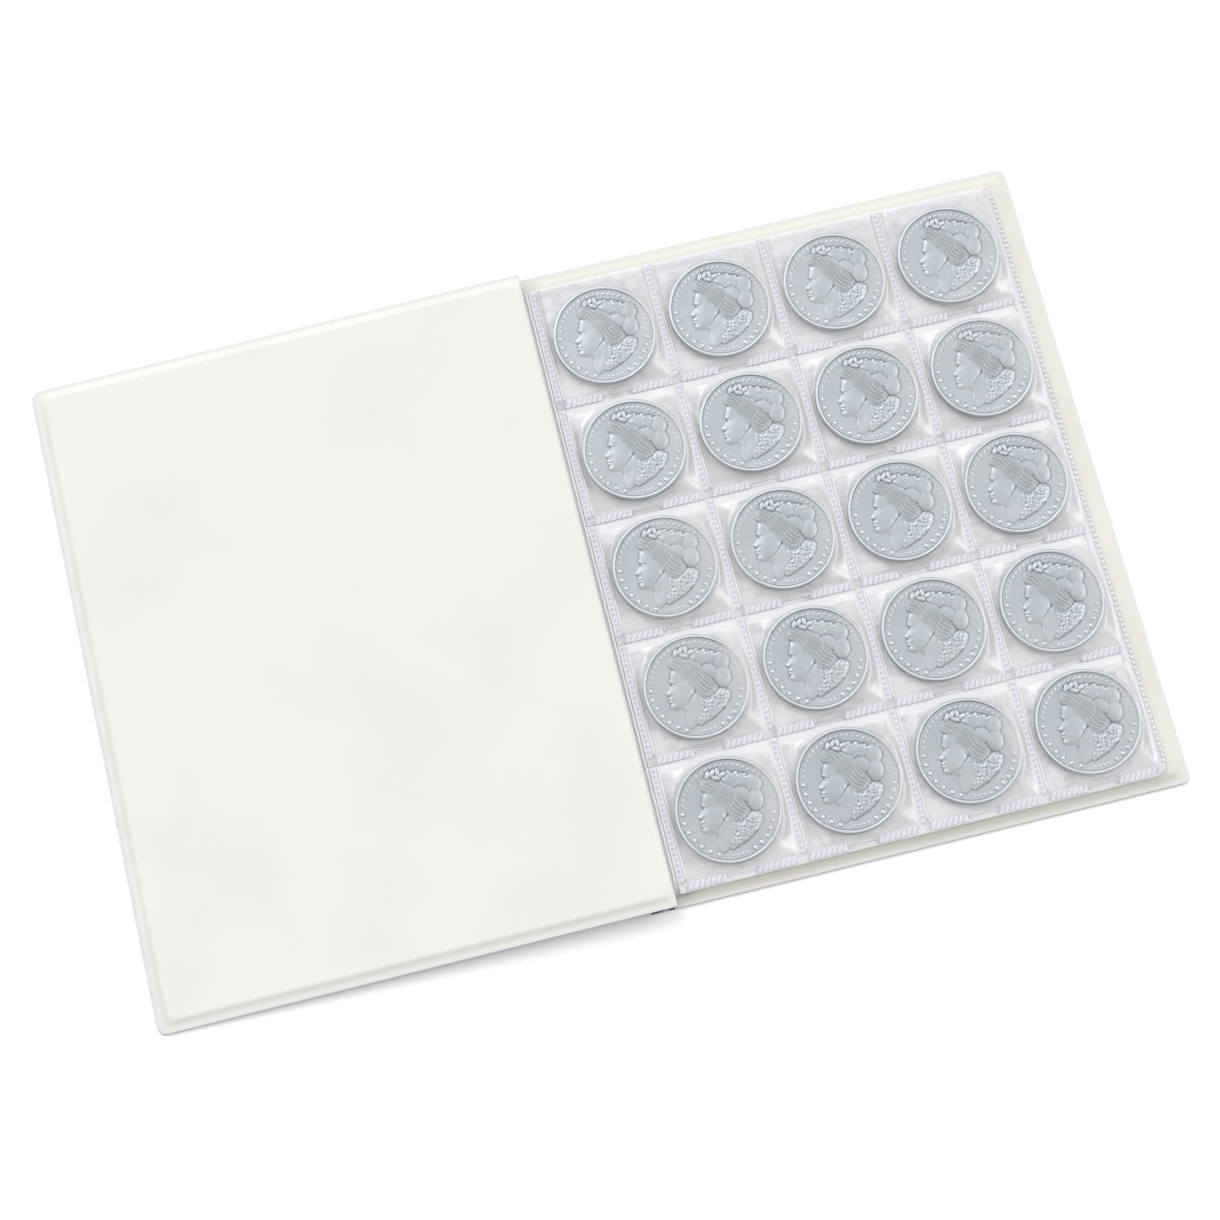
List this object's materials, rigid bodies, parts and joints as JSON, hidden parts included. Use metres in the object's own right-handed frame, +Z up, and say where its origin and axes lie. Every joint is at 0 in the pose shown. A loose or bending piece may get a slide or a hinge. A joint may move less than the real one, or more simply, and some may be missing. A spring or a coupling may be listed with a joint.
{
  "type": "coin album",
  "caption": "Coin album lying open: two welded vinyl covers on a soft folded spine, bound clear pocket pages, and a silvery coin in each pocket of the top page.",
  "frame": {"origin": "on the table surface, under the middle of the open album's bounding box", "axes": "+X towards the fore edge of the cover that carries the pages, +Y up the pages towards the pocket mouths, +Z up from the table"},
  "size_m": [0.3734, 0.242, 0.009],
  "materials": {
    "cover_leatherette": "black grained leatherette, semi-matt",
    "cover_board": "grey-brown millboard, plain",
    "spine_foam": "thin soft foam sheet",
    "cover_lining_vinyl": "warm off-white vinyl, soft sheen",
    "hinge_vinyl": "pressed flexible vinyl, soft sheen",
    "binding_vinyl": "stacked clear vinyl, cloudy",
    "page_back_film": "clear flexible vinyl film, glossy",
    "pocket_film": "clear flexible vinyl film, glossy, knurled welds",
    "coin_metal": "struck silvery metal with raised relief and bright rim"
  },
  "bodies": {
    "back_cover": {"back_outer_skin": "cover_leatherette", "back_board": "cover_board", "back_lining": "cover_lining_vinyl", "back_hinge_strip": "hinge_vinyl", "page_binding_strip": "binding_vinyl"},
    "spine_lower": {"spine_lower_skin": "cover_leatherette", "spine_lower_pad": "spine_foam", "spine_lower_lining": "cover_lining_vinyl"},
    "spine_upper": {"spine_upper_skin": "cover_leatherette", "spine_upper_pad": "spine_foam", "spine_upper_lining": "cover_lining_vinyl", "spine_crease_strip": "hinge_vinyl"},
    "front_cover": {"front_outer_skin": "cover_leatherette", "front_board": "cover_board", "front_lining": "cover_lining_vinyl", "front_hinge_strip": "hinge_vinyl"},
    "page_01": {"page_01_back_film": "page_back_film", "page_01_pocket_strip_1": "pocket_film", "page_01_pocket_strip_2": "pocket_film", "page_01_pocket_strip_3": "pocket_film", "page_01_pocket_strip_4": "pocket_film", "page_01_pocket_strip_5": "pocket_film"},
    "page_02": {"page_02_back_film": "page_back_film", "page_02_pocket_strips": "pocket_film"},
    "page_03": {"page_03_back_film": "page_back_film", "page_03_pocket_strips": "pocket_film"},
    "page_04": {"page_04_back_film": "page_back_film", "page_04_pocket_strips": "pocket_film"},
    "page_05": {"page_05_back_film": "page_back_film", "page_05_pocket_strips": "pocket_film"},
    "page_06": {"page_06_back_film": "page_back_film", "page_06_pocket_strips": "pocket_film"},
    "coin_row1_col1": {"coin_row1_col1": "coin_metal"},
    "coin_row1_col2": {"coin_row1_col2": "coin_metal"},
    "coin_row1_col3": {"coin_row1_col3": "coin_metal"},
    "coin_row1_col4": {"coin_row1_col4": "coin_metal"},
    "coin_row2_col1": {"coin_row2_col1": "coin_metal"},
    "coin_row2_col2": {"coin_row2_col2": "coin_metal"},
    "coin_row2_col3": {"coin_row2_col3": "coin_metal"},
    "coin_row2_col4": {"coin_row2_col4": "coin_metal"},
    "coin_row3_col1": {"coin_row3_col1": "coin_metal"},
    "coin_row3_col2": {"coin_row3_col2": "coin_metal"},
    "coin_row3_col3": {"coin_row3_col3": "coin_metal"},
    "coin_row3_col4": {"coin_row3_col4": "coin_metal"},
    "coin_row4_col1": {"coin_row4_col1": "coin_metal"},
    "coin_row4_col2": {"coin_row4_col2": "coin_metal"},
    "coin_row4_col3": {"coin_row4_col3": "coin_metal"},
    "coin_row4_col4": {"coin_row4_col4": "coin_metal"},
    "coin_row5_col1": {"coin_row5_col1": "coin_metal"},
    "coin_row5_col2": {"coin_row5_col2": "coin_metal"},
    "coin_row5_col3": {"coin_row5_col3": "coin_metal"},
    "coin_row5_col4": {"coin_row5_col4": "coin_metal"}
  },
  "joints": [
    {"name": "front_hinge_fold", "type": "hinge", "parent": "spine_upper", "child": "front_cover", "pos_m": [-0.00312, 0, 0.0071], "axis": [0, -1, 0], "range_deg": [-178.3, 0], "deforming": ["front_hinge_strip"]},
    {"name": "spine_crease_fold", "type": "hinge", "parent": "spine_lower", "child": "spine_upper", "pos_m": [-0.0102, 0, 0.001], "axis": [0, -1, 0], "range_deg": [0, 65.3], "deforming": ["spine_crease_strip"]},
    {"name": "back_hinge_fold", "type": "hinge", "parent": "back_cover", "child": "spine_lower", "pos_m": [-0.0036, 0, 0.001], "axis": [0, -1, 0], "range_deg": [-70.1, 0], "deforming": ["back_hinge_strip"]},
    {"name": "page_01_turn", "type": "hinge", "parent": "back_cover", "child": "page_01", "pos_m": [0, 0, 0.0085], "axis": [0, -1, 0], "range_deg": [0, 178]},
    {"name": "page_02_turn", "type": "hinge", "parent": "back_cover", "child": "page_02", "pos_m": [0, 0, 0.0085], "axis": [0, -1, 0], "range_deg": [0, 175.33]},
    {"name": "page_03_turn", "type": "hinge", "parent": "back_cover", "child": "page_03", "pos_m": [0, 0, 0.0085], "axis": [0, -1, 0], "range_deg": [0, 172.66]},
    {"name": "page_04_turn", "type": "hinge", "parent": "back_cover", "child": "page_04", "pos_m": [0, 0, 0.0085], "axis": [0, -1, 0], "range_deg": [0, 169.99]},
    {"name": "page_05_turn", "type": "hinge", "parent": "back_cover", "child": "page_05", "pos_m": [0, 0, 0.0085], "axis": [0, -1, 0], "range_deg": [0, 167.32]},
    {"name": "page_06_turn", "type": "hinge", "parent": "back_cover", "child": "page_06", "pos_m": [0, 0, 0.0085], "axis": [0, -1, 0], "range_deg": [0, 164.65]},
    {"name": "coin_row1_col1_slide", "type": "slide", "parent": "page_01", "child": "coin_row1_col1", "axis": [0, 1, 0], "range_m": [-0.0018, 0.046]},
    {"name": "coin_row1_col2_slide", "type": "slide", "parent": "page_01", "child": "coin_row1_col2", "axis": [0, 1, 0], "range_m": [-0.0018, 0.046]},
    {"name": "coin_row1_col3_slide", "type": "slide", "parent": "page_01", "child": "coin_row1_col3", "axis": [0, 1, 0], "range_m": [-0.0018, 0.046]},
    {"name": "coin_row1_col4_slide", "type": "slide", "parent": "page_01", "child": "coin_row1_col4", "axis": [0, 1, 0], "range_m": [-0.0018, 0.046]},
    {"name": "coin_row2_col1_slide", "type": "slide", "parent": "page_01", "child": "coin_row2_col1", "axis": [0, 1, 0], "range_m": [-0.0018, 0.0022]},
    {"name": "coin_row2_col2_slide", "type": "slide", "parent": "page_01", "child": "coin_row2_col2", "axis": [0, 1, 0], "range_m": [-0.0018, 0.0022]},
    {"name": "coin_row2_col3_slide", "type": "slide", "parent": "page_01", "child": "coin_row2_col3", "axis": [0, 1, 0], "range_m": [-0.0018, 0.0022]},
    {"name": "coin_row2_col4_slide", "type": "slide", "parent": "page_01", "child": "coin_row2_col4", "axis": [0, 1, 0], "range_m": [-0.0018, 0.0022]},
    {"name": "coin_row3_col1_slide", "type": "slide", "parent": "page_01", "child": "coin_row3_col1", "axis": [0, 1, 0], "range_m": [-0.0018, 0.0022]},
    {"name": "coin_row3_col2_slide", "type": "slide", "parent": "page_01", "child": "coin_row3_col2", "axis": [0, 1, 0], "range_m": [-0.0018, 0.0022]},
    {"name": "coin_row3_col3_slide", "type": "slide", "parent": "page_01", "child": "coin_row3_col3", "axis": [0, 1, 0], "range_m": [-0.0018, 0.0022]},
    {"name": "coin_row3_col4_slide", "type": "slide", "parent": "page_01", "child": "coin_row3_col4", "axis": [0, 1, 0], "range_m": [-0.0018, 0.0022]},
    {"name": "coin_row4_col1_slide", "type": "slide", "parent": "page_01", "child": "coin_row4_col1", "axis": [0, 1, 0], "range_m": [-0.0018, 0.0022]},
    {"name": "coin_row4_col2_slide", "type": "slide", "parent": "page_01", "child": "coin_row4_col2", "axis": [0, 1, 0], "range_m": [-0.0018, 0.0022]},
    {"name": "coin_row4_col3_slide", "type": "slide", "parent": "page_01", "child": "coin_row4_col3", "axis": [0, 1, 0], "range_m": [-0.0018, 0.0022]},
    {"name": "coin_row4_col4_slide", "type": "slide", "parent": "page_01", "child": "coin_row4_col4", "axis": [0, 1, 0], "range_m": [-0.0018, 0.0022]},
    {"name": "coin_row5_col1_slide", "type": "slide", "parent": "page_01", "child": "coin_row5_col1", "axis": [0, 1, 0], "range_m": [-0.0018, 0.0022]},
    {"name": "coin_row5_col2_slide", "type": "slide", "parent": "page_01", "child": "coin_row5_col2", "axis": [0, 1, 0], "range_m": [-0.0018, 0.0022]},
    {"name": "coin_row5_col3_slide", "type": "slide", "parent": "page_01", "child": "coin_row5_col3", "axis": [0, 1, 0], "range_m": [-0.0018, 0.0022]},
    {"name": "coin_row5_col4_slide", "type": "slide", "parent": "page_01", "child": "coin_row5_col4", "axis": [0, 1, 0], "range_m": [-0.0018, 0.0022]}
  ],
  "couplings": [
    {"joint": "spine_crease_fold", "follows": "front_hinge_fold", "ratio": -0.366},
    {"joint": "back_hinge_fold", "follows": "front_hinge_fold", "ratio": 0.3927},
    {"joint": "page_02_turn", "follows": "page_01_turn", "ratio": 0.985},
    {"joint": "page_03_turn", "follows": "page_01_turn", "ratio": 0.97},
    {"joint": "page_04_turn", "follows": "page_01_turn", "ratio": 0.955},
    {"joint": "page_05_turn", "follows": "page_01_turn", "ratio": 0.94},
    {"joint": "page_06_turn", "follows": "page_01_turn", "ratio": 0.925}
  ]
}
